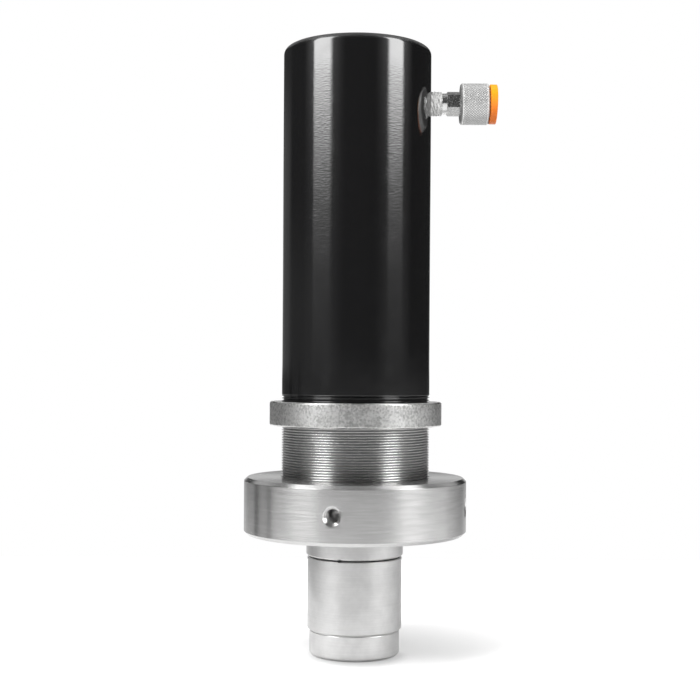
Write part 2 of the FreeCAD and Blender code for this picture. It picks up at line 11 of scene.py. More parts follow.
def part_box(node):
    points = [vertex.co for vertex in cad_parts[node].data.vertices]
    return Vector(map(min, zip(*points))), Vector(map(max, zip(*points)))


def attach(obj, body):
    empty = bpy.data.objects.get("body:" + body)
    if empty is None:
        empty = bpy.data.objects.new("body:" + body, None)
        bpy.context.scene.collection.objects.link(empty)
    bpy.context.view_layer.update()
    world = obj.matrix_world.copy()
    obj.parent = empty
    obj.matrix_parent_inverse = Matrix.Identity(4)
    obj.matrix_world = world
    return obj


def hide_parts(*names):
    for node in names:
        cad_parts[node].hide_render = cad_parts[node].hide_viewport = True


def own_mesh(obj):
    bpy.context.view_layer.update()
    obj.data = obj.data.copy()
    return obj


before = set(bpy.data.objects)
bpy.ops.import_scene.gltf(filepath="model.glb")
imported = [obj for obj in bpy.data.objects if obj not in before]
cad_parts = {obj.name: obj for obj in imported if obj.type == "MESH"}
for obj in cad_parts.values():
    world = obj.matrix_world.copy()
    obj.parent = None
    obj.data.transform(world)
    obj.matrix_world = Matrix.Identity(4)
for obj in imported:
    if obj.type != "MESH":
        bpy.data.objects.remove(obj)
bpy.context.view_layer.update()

# Barrel: a seamless steel tube, bored through, with a fine thread turned on its lower half.
# Gloss black paint runs down to the thread's first turns, over rings that the lathe left.
barrel_r = 57.5
barrel_bore_r = 47.5
barrel_foot = 99.8
barrel_top = 471.0
barrel_top_round = 5.0
barrel_cap_r = 50.0
barrel_cap_seat = 455.0
barrel_cap_chamfer = 0.8
barrel_paint_end = 196.0
barrel_edge = 0.25
barrel_shoulder = 200.4
thread_root_r = 56.1
thread_crest_r = 57.48
thread_pitch = 2.0
painted_turns = 4
port_height = 429.4
port_mouth_r = 9.2
port_r = 8.35
port_chamfer = 0.85
port_depth = 9.6
port_block = 11.3
port_rows = 12
millimetre = 0.001


class Socket:
    """A node socket. Each sum that it takes part in becomes a Math node."""

    def __init__(self, finish, socket):
        self.finish = finish
        self.socket = socket

    def math(self, operation, *numbers):
        return self.finish.node("ShaderNodeMath", {"operation": operation}, dict(enumerate(numbers)))

    def other(self, output):
        return Socket(self.finish, self.socket.node.outputs[output])

    def __add__(self, number):
        return self.math("ADD", self, number)

    def __sub__(self, number):
        return self.math("SUBTRACT", self, number)

    def __rsub__(self, number):
        return self.math("SUBTRACT", number, self)

    def __mul__(self, number):
        return self.math("MULTIPLY", self, number)

    def __truediv__(self, number):
        return self.math("DIVIDE", self, number)

    def __pow__(self, number):
        return self.math("POWER", self, number)

    __radd__ = __add__
    __rmul__ = __mul__


class Finish:
    """A node tree to write in: of a new material, or of something that has one."""

    def __init__(self, name, settings=None, owner=None):
        self.owner = owner or bpy.data.materials.new(name)
        self.owner.use_nodes = True
        self.tree = self.owner.node_tree
        self.shader = self.tree.nodes.get("Principled BSDF")
        for key, value in (settings or {}).items():
            self.shader.inputs[key].default_value = value

    def node(self, kind, settings=None, inputs=None, output=0):
        node = self.tree.nodes.new(kind)
        for key, value in (settings or {}).items():
            setattr(node, key, value)
        for key, value in (inputs or {}).items():
            self.feed(node.inputs[key], value)
        return Socket(self, node.outputs[output])

    def feed(self, socket, value):
        if isinstance(socket, str):
            socket = self.shader.inputs[socket]
        if isinstance(value, Socket):
            self.tree.links.new(value.socket, socket)
        else:
            socket.default_value = value

    def place(self):
        """A point's X, Y and Z on the object, in millimetres."""
        where = self.node("ShaderNodeTexCoord", output="Object")
        split = self.node("ShaderNodeSeparateXYZ", inputs={"Vector": where})
        return tuple(split.other(axis) / millimetre for axis in "XYZ")

    def grain(self, x, y, z, detail=2.0, rough=0.5):
        """Soft noise from 0 to 1, one step of it to each unit of x, y or z."""
        where = self.node("ShaderNodeCombineXYZ", inputs={"X": x, "Y": y, "Z": z})
        settings = {"Vector": where, "Scale": 1.0, "Detail": detail, "Roughness": rough}
        return self.node("ShaderNodeTexNoise", inputs=settings)

    def ramp(self, value, low, high, start=0.0, end=1.0):
        """An eased step from start to end while value goes from low to high."""
        span = {"Value": value, "From Min": low, "From Max": high, "To Min": start, "To Max": end}
        return self.node("ShaderNodeMapRange", {"interpolation_type": "SMOOTHSTEP"}, span)

    def blend(self, share, first, second):
        """A colour between two, as share goes from 0 to 1. The sockets are told apart by number."""
        colours = {"Factor": share, 6: (*first, 1.0), 7: (*second, 1.0)}
        return self.node("ShaderNodeMix", {"data_type": "RGBA"}, colours, output=2)

    def emboss(self, height, depth):
        """Feeds the normal with a relief that is depth millimetres from its lowest to its highest."""
        relief = {"Height": height, "Strength": 1.0, "Distance": depth * millimetre}
        self.feed("Normal", self.node("ShaderNodeBump", inputs=relief))


def spun(profile, steps=192, closed=True):
    """Spins (radius, height) corners once round Z. Corners on the axis close to a pole."""
    bm = bmesh.new()
    corners = [bm.verts.new((r, 0.0, z)) for r, z in profile]
    pairs = list(zip(corners, corners[1:]))
    if closed and min(r for r, z in profile) > 0:
        pairs.append((corners[-1], corners[0]))
    edges = [bm.edges.new(pair) for pair in pairs]
    bmesh.ops.spin(
        bm, geom=corners + edges, cent=(0, 0, 0), axis=(0, 0, 1), dvec=(0, 0, 0),
        angle=math.tau, steps=steps, use_merge=True,
    )
    bmesh.ops.remove_doubles(bm, verts=bm.verts, dist=1e-4)
    bmesh.ops.recalc_face_normals(bm, faces=bm.faces)
    return bm


def ease(bm, width, segments=2, where=lambda edge: True, least_turn=math.radians(25)):
    """Rounds the sharp edges that where() lets through, as a file or a lathe hand breaks them."""
    sharp = [
        edge for edge in bm.edges
        if len(edge.link_faces) == 2 and edge.calc_face_angle() > least_turn and where(edge)
    ]
    bmesh.ops.bevel(
        bm, geom=sharp, offset=width, offset_type="OFFSET", segments=segments, profile=0.5,
        affect="EDGES", clamp_overlap=True, material=-1,
    )


def wind_thread(bm, root_r, crest_r, pitch, low, turns, steps=128, place=Matrix()):
    """Winds one turn of a ridge and repeats it along a plain round core, running out at both ends.

    A flank's corners are shares of the thread's depth under the crest, and of the pitch beside it.
    """
    flank = [(0.0, 0.07), (0.05, 0.12), (0.22, 0.18), (1.1, 0.45)]
    section = [(sunk, -aside) for sunk, aside in reversed(flank)] + flank
    depth = crest_r - root_r
    sunk_r = crest_r - flank[-1][0] * depth
    run_out = 0.4 * pitch
    least_fade, end_fade = 0.05, 0.2
    thread = bmesh.new()
    corners = [
        thread.verts.new((crest_r - sunk * depth, 0.0, low + aside * pitch)) for sunk, aside in section
    ]
    edges = [thread.edges.new(pair) for pair in zip(corners, corners[1:] + corners[:1])]
    bmesh.ops.spin(
        thread, geom=corners + edges, cent=(0, 0, 0), axis=(0, 0, 1), dvec=(0, 0, pitch / steps),
        angle=math.tau, steps=steps, use_merge=False,
    )
    one_turn = thread.verts[:] + thread.edges[:] + thread.faces[:]
    for turn in range(1, turns):
        copy = bmesh.ops.duplicate(thread, geom=one_turn)["geom"]
        copied = [item for item in copy if isinstance(item, bmesh.types.BMVert)]
        bmesh.ops.translate(thread, vec=(0, 0, pitch * turn), verts=copied)
    bmesh.ops.remove_doubles(thread, verts=thread.verts, dist=1e-4)
    ends = [edge for edge in thread.edges if edge.is_boundary]
    bmesh.ops.holes_fill(thread, edges=ends, sides=len(section))
    for vert in thread.verts:
        radius = math.hypot(vert.co.x, vert.co.y)
        from_end = min(vert.co.z - low, low + turns * pitch - vert.co.z)
        fade = min(1.0, max(least_fade, from_end / run_out + end_fade))
        eased = sunk_r + (radius - sunk_r) * fade
        vert.co.x *= eased / radius
        vert.co.y *= eased / radius
    bmesh.ops.transform(thread, matrix=place, verts=thread.verts)
    mesh = bpy.data.meshes.new("thread")
    thread.to_mesh(mesh)
    thread.free()
    bm.from_mesh(mesh)
    bpy.data.meshes.remove(mesh)


def carry(bm, loop, place):
    """Extrudes a loop of edges, puts each new corner where place() says, and returns the new loop."""
    made = bmesh.ops.extrude_edge_only(bm, edges=loop)["geom"]
    corners = {item for item in made if isinstance(item, bmesh.types.BMVert)}
    for corner in corners:
        corner.co = place(corner.co)
    return [
        item for item in made
        if isinstance(item, bmesh.types.BMEdge) and corners.issuperset(item.verts)
    ]


def drill_wall(bm, wall_r, turn, height, half, stages, skin=2.0, slack=0.1):
    """Cuts a round hole in a round wall: a square of faces goes, and its rim is drawn in.

    Each stage is a (radius, depth) of the hole, from the wall's surface inwards. Faces that lie
    deeper than the skin aren't part of the wall.
    """
    outward = Vector((math.cos(turn), math.sin(turn), 0))
    sideways = Vector((-math.sin(turn), math.cos(turn), 0))
    square = []
    for face in bm.faces:
        middle = face.calc_center_median()
        aside = max(abs(middle.dot(sideways)), abs(middle.z - height))
        if aside < half + slack and middle.dot(outward) > wall_r - skin:
            square.append(face)
    inside = set(square)
    loop = [edge for edge in bm.edges if sum(face in inside for face in edge.link_faces) == 1]
    bmesh.ops.delete(bm, geom=square, context="FACES")
    for radius, depth in stages:
        def place(co):
            flat = Vector((co.dot(sideways), co.z - height)).normalized() * radius
            reach = wall_r - depth if depth else math.sqrt(wall_r ** 2 - flat.x ** 2)
            return outward * reach + sideways * flat.x + Vector((0, 0, height + flat.y))
        loop = carry(bm, loop, place)
    return loop


def show(bm, name, body, finish, replaces=(), sharp_turn=math.radians(35)):
    """Turns a mesh in millimetres into a finished piece that rides on a body."""
    bmesh.ops.remove_doubles(bm, verts=bm.verts, dist=2e-4)
    bmesh.ops.recalc_face_normals(bm, faces=bm.faces)
    bmesh.ops.scale(bm, vec=[millimetre] * 3, verts=bm.verts)
    mesh = bpy.data.meshes.new(name)
    bm.to_mesh(mesh)
    bm.free()
    mesh.shade_smooth()
    mesh.set_sharp_from_angle(angle=sharp_turn)
    mesh.materials.append(finish.owner)
    piece = bpy.data.objects.new(name, mesh)
    bpy.context.scene.collection.objects.link(piece)
    piece.modifiers.new("even_shading", "WEIGHTED_NORMAL").keep_sharp = True
    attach(piece, body)
    if replaces:
        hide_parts(*replaces)
    return piece


black_paint = Finish("gloss_black_paint", {
    "Base Color": (0.0078, 0.0078, 0.0081, 1), "IOR": 1.62, "Specular IOR Level": 1.0,
})
x, y, z = black_paint.place()
ripple_depth = 0.044
ripple_grows = (250.0, 330.0, 0.25, 1.0)
ripple_fades = (440.0, 460.0, 1.0, 0.15)
rim_dulls = (barrel_top - 4.5, barrel_top - 2.5, 0.0, 0.35)
ripple = black_paint.grain(x * 0.26, y * 0.26, z * 1.05, 3.0, 0.6)
flow = black_paint.grain(x * 0.05, y * 0.05, z * 0.03, 2.0)
extent = black_paint.ramp(z, *ripple_grows) * black_paint.ramp(z, *ripple_fades)
black_paint.emboss(ripple * extent * (flow * 0.8 + 0.6), ripple_depth)
cloud = black_paint.grain(x * 0.08, y * 0.08, z * 0.08, 3.0)
dull_rim = black_paint.ramp(z, *rim_dulls)
black_paint.feed("Roughness", black_paint.ramp(cloud, 0.3, 0.75, 0.06, 0.12) + dull_rim)

port_wall = [
    port_height + port_block * (2 * row / port_rows - 1) for row in range(port_rows + 1)
]
bm = spun([
    (barrel_bore_r, barrel_paint_end), (thread_root_r, barrel_paint_end),
    (thread_root_r, barrel_shoulder), (barrel_r, barrel_shoulder + barrel_r - thread_root_r),
    *[(barrel_r, station) for station in port_wall],
    (barrel_r, barrel_top), (barrel_cap_r + barrel_cap_chamfer, barrel_top),
    (barrel_cap_r, barrel_top - barrel_cap_chamfer),
    (barrel_cap_r, barrel_cap_seat), (barrel_bore_r, barrel_cap_seat),
])


def on_top_corner(edge):
    return all(v.co.z > barrel_top - 1 and math.hypot(*v.co.xy) > barrel_r - 1 for v in edge.verts)


def above_paint_end(edge):
    return all(v.co.z > barrel_paint_end + 1 for v in edge.verts)


ease(bm, barrel_top_round, segments=8, where=on_top_corner)
ease(bm, barrel_edge, where=above_paint_end)
drill_wall(
    bm, barrel_r, 0.0, port_height, port_block,
    [(port_mouth_r, 0), (port_r, port_chamfer), (port_r, port_depth), (0, port_depth)],
)
wind_thread(
    bm, thread_root_r, thread_crest_r, thread_pitch, barrel_paint_end - thread_pitch, painted_turns,
)
show(bm, "painted_barrel", "barrel", black_paint, ["barrel"])

# Barrel's lower half: the same tube, left bare for the two rings that screw on it.
# Cut steel, bright on the crests of the thread and darker down in its roots: partly oil there, partly
# painted shade.
foot_chamfer = 1.0
gland_thread_r = 49.5
gland_thread_top = 126.8
first_turn = barrel_foot + 1.5
bare_turns = 47

thread_steel = Finish(
    "bare_thread_steel", {"Metallic": 1.0, "Anisotropic": 0.8, "Anisotropic Rotation": 0.25},
)
x, y, z = thread_steel.place()
# Down in the roots the steel is painted dark, for oil and for painted shade.
oily_shaded_root_grey = (0.22, 0.22, 0.22)
crest_grey = (0.84, 0.835, 0.83)
up_the_flank = thread_steel.ramp((x * x + y * y) ** 0.5, thread_root_r, thread_crest_r)
smear = thread_steel.grain(x * 0.15, y * 0.15, z * 0.6, 3.0)
bright = up_the_flank * 0.8 + smear * 0.25
thread_steel.feed("Base Color", thread_steel.blend(bright, oily_shaded_root_grey, crest_grey))
thread_steel.feed("Roughness", thread_steel.ramp(up_the_flank, 0.0, 1.0, 0.36, 0.27))

bm = spun([
    (gland_thread_r, barrel_foot), (thread_root_r - foot_chamfer, barrel_foot),
    (thread_root_r, barrel_foot + foot_chamfer), (thread_root_r, barrel_paint_end),
    (barrel_bore_r, barrel_paint_end), (barrel_bore_r, gland_thread_top),
    (gland_thread_r, gland_thread_top),
])
wind_thread(bm, thread_root_r, thread_crest_r, thread_pitch, first_turn, bare_turns)
show(bm, "barrel_thread", "barrel", thread_steel)

# End cap: a steel plug screwed into the barrel's top and painted with it.
# Two blind holes take the pin spanner that tightens it.
cap_r = 49.94
cap_edge = 0.8
cap_foot = 443.0
cap_shoulder = 455.3
cap_pilot_r = 47.45
cap_hole_offset = 30.0
cap_hole_r = 4.0
cap_hole_depth = 9.0
cap_hole_edge = 0.4


def drilled_face(bm, height, circles):
    """Fills a flat face round and between circles of (x, y, radius, corners). Returns their loops."""
    loops = []
    for x, y, radius, corners in circles:
        place = Matrix.Translation((x, y, height))
        made = bmesh.ops.create_circle(bm, radius=radius, segments=corners, matrix=place)
        ring = set(made["verts"])
        loops.append([edge for edge in bm.edges if ring.issuperset(edge.verts)])
    bmesh.ops.triangle_fill(
        bm, edges=[edge for loop in loops for edge in loop], use_beauty=True, use_dissolve=False,
    )
    return loops


def draw_down(bm, loop, corners, x=0.0, y=0.0):
    """Draws a round loop through (radius, height) corners about an upright line, as a drill cuts."""
    for radius, height in corners:
        def place(co):
            flat = Vector((co.x - x, co.y - y)).normalized() * radius
            return Vector((x + flat.x, y + flat.y, height))
        loop = carry(bm, loop, place)
    return loop


bm = bmesh.new()
rim, *holes = drilled_face(bm, barrel_top, [
    (0, 0, cap_r - cap_edge, 192),
    (0, cap_hole_offset, cap_hole_r + cap_hole_edge, 48),
    (0, -cap_hole_offset, cap_hole_r + cap_hole_edge, 48),
])
draw_down(bm, rim, [
    (cap_r, barrel_top - cap_edge), (cap_r, cap_shoulder), (cap_pilot_r, cap_shoulder),
    (cap_pilot_r, cap_foot), (0, cap_foot),
])
cap_hole_floor = barrel_top - cap_hole_depth
for hole, offset in zip(holes, (cap_hole_offset, -cap_hole_offset)):
    draw_down(bm, hole, [
        (cap_hole_r, barrel_top - cap_hole_edge), (cap_hole_r, cap_hole_floor), (0, cap_hole_floor),
    ], y=offset)
show(bm, "painted_end_cap", "barrel", black_paint, ["end_cap"])

# Mounting flange: a thick steel ring, turned all over and screwed home on the barrel's thread.
# Four tapped holes stand round its rim. The tool left fine rings on every face.
flange_r = 86.5
flange_foot = 93.8
flange_top = 137.7
flange_edge = 2.6
flange_bore_r = 57.56
flange_mouth = 1.2
flange_lip_r = 47.0
side_hole_height = 115.75
side_hole_turns = [math.radians(-101.25 + 90 * step) for step in range(4)]
side_hole_mouth_r = 6.75
side_hole_rim = ((0.5, 0.0), (0.1, 0.18), (-0.2, 0.45))
side_hole_chamfer = 1.0
side_hole_root_r = 5.95
side_hole_root_depth = 19.5
side_hole_crest_r = 5.15
side_hole_pitch = 1.75
side_hole_thread_turns = 10
side_hole_run_out = 0.8
side_hole_depth = 22.0
side_hole_tip_depth = 25.0
side_hole_block = 8.49
side_hole_rows = 12
flange_break = 0.15
flange_steps = 384


def lie(turn, height):
    """Lays an upright piece flat, with its foot end at the axis and its head out at a turn."""
    level = Matrix.Rotation(math.radians(90), 4, "Y")
    return Matrix.Translation((0, 0, height)) @ Matrix.Rotation(turn, 4, "Z") @ level


def tool_marks(finish, x, y, z, pitch):
    """The fine rings that a lathe tool leaves, on walls and end faces alike, from 0 to 1."""
    along = (x * x + y * y) ** 0.5 + z
    return finish.grain(x * 0.012, y * 0.012, along / pitch, 4.0, 0.65)


turned_steel = Finish(
    "turned_steel", {"Metallic": 1.0, "Anisotropic": 0.7, "Anisotropic Rotation": 0.25},
)
x, y, z = turned_steel.place()
steel_shade = (0.65, 0.647, 0.643)
steel_light = (0.76, 0.757, 0.753)
rings = tool_marks(turned_steel, x * 3, y * 3, z, 1.0)
handled = turned_steel.grain(x * 0.05, y * 0.05, z * 0.12, 5.0, 0.6)
streaks = turned_steel.ramp(rings * 0.7 + handled * 0.3, 0.3, 0.7)
turned_steel.feed("Base Color", turned_steel.blend(streaks, steel_shade, steel_light))
turned_steel.feed("Roughness", turned_steel.ramp(rings, 0.25, 0.75, 0.22, 0.26))
turned_steel.emboss(rings, 0.002)

side_hole_wall = [
    side_hole_height + side_hole_block * (2 * row / side_hole_rows - 1)
    for row in range(side_hole_rows + 1)
]
bm = spun([
    (flange_lip_r, flange_foot), (flange_r - flange_edge, flange_foot),
    (flange_r, flange_foot + flange_edge), *[(flange_r, station) for station in side_hole_wall],
    (flange_r, flange_top - flange_edge), (flange_r - flange_edge, flange_top),
    (flange_bore_r + flange_mouth, flange_top), (flange_bore_r, flange_top - flange_mouth),
    (flange_bore_r, barrel_foot), (flange_lip_r, barrel_foot),
], steps=flange_steps)
ease(bm, flange_break)
for turn in side_hole_turns:
    drill_wall(bm, flange_r, turn, side_hole_height, side_hole_block, [
        *[(side_hole_mouth_r + wider, depth) for wider, depth in side_hole_rim],
        (side_hole_root_r, side_hole_chamfer), (side_hole_root_r, side_hole_root_depth),
        (side_hole_crest_r, side_hole_root_depth + side_hole_run_out),
        (side_hole_crest_r, side_hole_depth), (0, side_hole_tip_depth),
    ])
    wind_thread(
        bm, side_hole_root_r, side_hole_crest_r, side_hole_pitch, flange_r - side_hole_root_depth,
        side_hole_thread_turns, steps=40, place=lie(turn, side_hole_height),
    )
show(bm, "turned_mounting_flange", "barrel", turned_steel, ["mounting_flange"])

# Lock ring: a thinner steel ring on the same thread, which clamps the press's plate.
# Its zinc plating came out dull and spangled. Its corners are painted bright and glossy: partly rubbed
# wear, partly a painted highlight.
ring_r = 67.0
ring_foot = 177.7
ring_top = 196.5
ring_half = (ring_top - ring_foot) / 2
ring_middle = (ring_top + ring_foot) / 2
ring_edge = 1.0
ring_break = 0.45

zinc = Finish("spangled_zinc", {"Metallic": 1.0})
x, y, z = zinc.place()
zinc_dull = (0.36, 0.36, 0.355)
zinc_bright = (0.86, 0.86, 0.85)
spangle = zinc.grain(x * 0.55, y * 0.55, z * 0.55, 3.0, 0.6)
stain = zinc.grain(x * 0.09, y * 0.09, z * 0.12, 4.0, 0.6)
mottle = zinc.ramp(spangle * 0.65 + stain * 0.35, 0.36, 0.62)
# The top and bottom corners get a lighter share: partly rubbed wear, partly a painted highlight on the
# chamfers.
lighter_share = zinc.ramp(z.math("ABSOLUTE", z - ring_middle), ring_half - 1.2, ring_half - 0.7)
zinc.feed("Base Color", zinc.blend(mottle + lighter_share, zinc_dull, zinc_bright))
zinc.feed("Roughness", zinc.ramp(mottle + lighter_share, 0.0, 2.0, 0.46, 0.16))
zinc.emboss(spangle, 0.06)

bm = spun([
    (flange_bore_r + flange_mouth, ring_foot), (ring_r - ring_edge, ring_foot),
    (ring_r, ring_foot + ring_edge), (ring_r, ring_top - ring_edge), (ring_r - ring_edge, ring_top),
    (flange_bore_r + flange_mouth, ring_top), (flange_bore_r, ring_top - flange_mouth),
    (flange_bore_r, ring_foot + flange_mouth),
], steps=256)
ease(bm, ring_break, segments=3)
show(bm, "plated_lock_ring", "lock_ring", zinc, ["lock_ring"])

# Gland: a turned steel bush screwed into the barrel's foot, with the nose that guides the rod.
# Its underside has four blind holes for a pin spanner and one that lets the spring's side breathe.
nose_r = 37.7
nose_foot = 76.9
nose_edge = 1.2
gland_r = 49.44
gland_top = 149.8
gland_pilot_r = 47.45
gland_bore_r = 30.05
gland_shoulder = 126.5
wiper_seat_r = 35.05
wiper_seat_top = 83.9
pin_hole_circle = 43.0
pin_hole_r = 2.0
pin_hole_top = 108.8
pin_hole_turns = [math.radians(90 * step) for step in range(4)]
vent_r = 1.5
vent_turn = math.radians(45)
vent_top = 144.3
gland_break = 0.15

satin_steel = Finish(
    "satin_steel", {"Metallic": 1.0, "Anisotropic": 0.2, "Anisotropic Rotation": 0.25},
)
x, y, z = satin_steel.place()
satin_shade = (0.68, 0.677, 0.673)
satin_light = (0.81, 0.807, 0.803)
rings = tool_marks(satin_steel, x, y, z, 0.5)
handled = satin_steel.grain(x * 0.06, y * 0.06, z * 0.06, 6.0, 0.62)
smudges = satin_steel.ramp(handled * 0.7 + rings * 0.3, 0.3, 0.7)
satin_steel.feed("Base Color", satin_steel.blend(smudges, satin_shade, satin_light))
satin_steel.feed("Roughness", satin_steel.ramp(handled, 0.3, 0.7, 0.36, 0.3))
satin_steel.emboss(rings, 0.004)

foot_holes = [
    (math.cos(turn) * pin_hole_circle, math.sin(turn) * pin_hole_circle, radius, top)
    for turn, radius, top in [
        *[(turn, pin_hole_r, pin_hole_top) for turn in pin_hole_turns], (vent_turn, vent_r, vent_top),
    ]
]
bm = bmesh.new()
rim, inner, *holes = drilled_face(bm, barrel_foot, [
    (0, 0, gland_r, 192), (0, 0, nose_r, 192),
    *[(x, y, radius, 24) for x, y, radius, top in foot_holes],
])
draw_down(bm, inner, [
    (nose_r, nose_foot + nose_edge), (nose_r - nose_edge, nose_foot), (wiper_seat_r, nose_foot),
    (wiper_seat_r, wiper_seat_top), (gland_bore_r, wiper_seat_top), (gland_bore_r, gland_top),
    (gland_pilot_r, gland_top), (gland_pilot_r, gland_shoulder), (gland_r, gland_shoulder),
    (gland_r, barrel_foot),
])
for hole, (x, y, radius, top) in zip(holes, foot_holes):
    draw_down(bm, hole, [(radius, top), (0, top)], x, y)
bmesh.ops.remove_doubles(bm, verts=bm.verts, dist=1e-3)
ease(bm, gland_break, where=lambda edge: all(v.co.z < barrel_foot - 1 for v in edge.verts))
show(bm, "turned_gland", "barrel", satin_steel, ["gland"])

# Rod wiper: a black rubber ring in the gland's nose, whose lip scrapes the rod clean.
# The lip has gone wavy, and one torn shred hangs out of the seam above the head.
lip_foot = 76.2
lip_width = 1.6
lip_root_r = 32.65
lip_root_height = 78.3
wiper_web = 1.2
wiper_web_foot = 79.5
wiper_gap = 0.1
wiper_break = 0.15
wave_height = 0.4
wave_count = 7
wave_reach = 3.2
wave_swing = 1.6
shred_turn = math.radians(-108.6)
shred_spread = math.radians(2.2)
shred_reach = 3.6
shred_sag = 0.5

rubber = Finish("black_rubber", {"Base Color": (0.07, 0.07, 0.072, 1)})
x, y, z = rubber.place()
bloom = rubber.grain(x * 0.5, y * 0.5, z * 0.5, 4.0)
rubber.feed("Roughness", rubber.ramp(bloom, 0.3, 0.7, 0.5, 0.72))
rubber.emboss(bloom, 0.03)

bm = spun([
    (gland_bore_r, lip_foot), (gland_bore_r + lip_width, lip_foot), (lip_root_r, lip_root_height),
    (wiper_seat_r, lip_root_height), (wiper_seat_r, wiper_seat_top - wiper_gap),
    (gland_bore_r + wiper_web, wiper_seat_top - wiper_gap), (gland_bore_r + wiper_web, wiper_web_foot),
], steps=256)
ease(bm, wiper_break)
for vert in bm.verts:
    if vert.co.z < lip_foot + wave_height and math.hypot(*vert.co.xy) > gland_bore_r + 1:
        outward = Vector((*vert.co.xy, 0)).normalized()
        aside = (math.atan2(vert.co.y, vert.co.x) - shred_turn) / shred_spread
        wave = noise.noise(outward * wave_count) * wave_swing + wave_reach
        shred = math.exp(-aside * aside)
        vert.co += outward * (wave + shred_reach * shred)
        vert.co.z -= shred_sag * shred
show(bm, "rubber_rod_wiper", "barrel", rubber, ["rod_wiper"])

# Ram rod: hard chrome over steel, ground and polished, with a threaded spigot at each end.
# The head screws on the lower spigot, and a nut holds the piston on the upper one.
rod_r = 30.0
head_spigot_r = 18.0
piston_spigot_r = 22.5
rod_edge = 1.0
rod_break = 0.2
head_top = 75.8
piston_foot = 377.0
rod_foot = 42.5
rod_top = 440.0

chrome = Finish("ground_hard_chrome", {"Metallic": 1.0, "Base Color": (0.78, 0.79, 0.8, 1)})
x, y, z = chrome.place()
wipe = chrome.grain(x * 0.4, y * 0.4, z * 0.03, 4.0)
chrome.feed("Roughness", chrome.ramp(wipe, 0.3, 0.75, 0.06, 0.13))
chrome.emboss(tool_marks(chrome, x, y, z, 0.25), 0.001)

bm = spun([
    (0, rod_foot), (head_spigot_r - rod_edge, rod_foot), (head_spigot_r, rod_foot + rod_edge),
    (head_spigot_r, head_top), (rod_r - rod_edge, head_top), (rod_r, head_top + rod_edge),
    (rod_r, piston_foot), (piston_spigot_r, piston_foot), (piston_spigot_r, rod_top - rod_edge),
    (piston_spigot_r - rod_edge, rod_top), (0, rod_top),
])
ease(bm, rod_break)
show(bm, "chromed_ram_rod", "ram", chrome, ["ram_rod"])

# Ram head: a satin steel block screwed on the rod, which pushes the work.
# A grub screw's hole is drilled in its back.
head_r = 36.75
head_foot = 19.1
head_edge = 1.8
head_top_edge = 0.6
head_break = 0.15
spigot_bore_r = 18.06
spigot_bore_foot = 42.2
stem_bore_r = 16.05
stem_bore_top = 35.4
grub_height = 58.0
grub_turn = math.radians(90)
grub_bore_r = 4.06
grub_bore_rim = 0.6
grub_bore_chamfer = 0.7
grub_bore_depth = 18.55
grub_block = 6.0
grub_rows = 10

grub_wall = [grub_height + grub_block * (1 - 2 * row / grub_rows) for row in range(grub_rows + 1)]
bm = spun([
    (0, spigot_bore_foot), (spigot_bore_r, spigot_bore_foot), (spigot_bore_r, head_top),
    (head_r - head_top_edge, head_top), (head_r, head_top - head_top_edge),
    *[(head_r, station) for station in grub_wall],
    (head_r, head_foot + head_edge), (head_r - head_edge, head_foot), (stem_bore_r, head_foot),
    (stem_bore_r, stem_bore_top), (0, stem_bore_top),
])
ease(bm, head_break)
drill_wall(bm, head_r, grub_turn, grub_height, grub_block, [
    (grub_bore_r + grub_bore_rim, 0), (grub_bore_r, grub_bore_chamfer),
    (grub_bore_r, grub_bore_depth), (0, grub_bore_depth),
])
show(bm, "satin_ram_head", "ram", satin_steel, ["ram_head"])

# Pressure pad: a loose foot turned from the same steel, which takes the wear of the work.
# Its stem is pushed into the head, where a rubber ring in its groove holds it.
pad_r = 35.0
pad_top = 19.1
pad_edge = 1.8
pad_top_edge = 0.3
pad_break = 0.25
stem_r = 16.0
stem_edge = 1.0
stem_groove_r = 14.0
stem_groove = (26.5, 30.1)
stem_top = 35.1

bm = spun([
    (0, 0), (pad_r - pad_edge, 0), (pad_r, pad_edge), (pad_r, pad_top - pad_top_edge),
    (pad_r - pad_top_edge, pad_top), (stem_r, pad_top), (stem_r, stem_groove[0]),
    (stem_groove_r, stem_groove[0]), (stem_groove_r, stem_groove[1]), (stem_r, stem_groove[1]),
    (stem_r, stem_top - stem_edge), (stem_r - stem_edge, stem_top), (0, stem_top),
])
ease(bm, pad_break)
show(bm, "satin_pressure_pad", "ram", satin_steel, ["pressure_pad"])

# Grub screw: black oiled steel with a hexagon socket, sunk in the back of the head.
# It presses on the rod's thread, so that the head can't unscrew.
grub_r = 4.0
grub_tip = 18.12
grub_end = 30.12
grub_end_edge = 0.5
grub_tip_edge = 1.0
grub_key = 4.0
grub_key_corner_r = grub_key / math.sqrt(3)
grub_key_foot = grub_end - grub_key
grub_key_cone = 0.8

black_oxide = Finish("oiled_black_oxide", {"Metallic": 1.0})
x, y, z = black_oxide.place()
oil = black_oxide.grain(x * 0.6, y * 0.6, z * 0.6, 3.0)
black_oxide.feed("Base Color", black_oxide.blend(oil, (0.035, 0.035, 0.036), (0.11, 0.11, 0.112)))
black_oxide.feed("Roughness", black_oxide.ramp(oil, 0.3, 0.7, 0.25, 0.45))

bm = bmesh.new()
rim, socket = drilled_face(bm, grub_end, [
    (0, 0, grub_r - grub_end_edge, 48), (0, 0, grub_key_corner_r, 6),
])
draw_down(bm, rim, [
    (grub_r, grub_end - grub_end_edge), (grub_r, grub_tip + grub_tip_edge),
    (grub_r - grub_tip_edge, grub_tip), (0, grub_tip),
])
draw_down(bm, socket, [(grub_key_corner_r, grub_key_foot), (0, grub_key_foot - grub_key_cone)])
bmesh.ops.transform(bm, matrix=lie(grub_turn, grub_height), verts=bm.verts)
show(bm, "socket_grub_screw", "ram", black_oxide, ["head_lock_screw"])

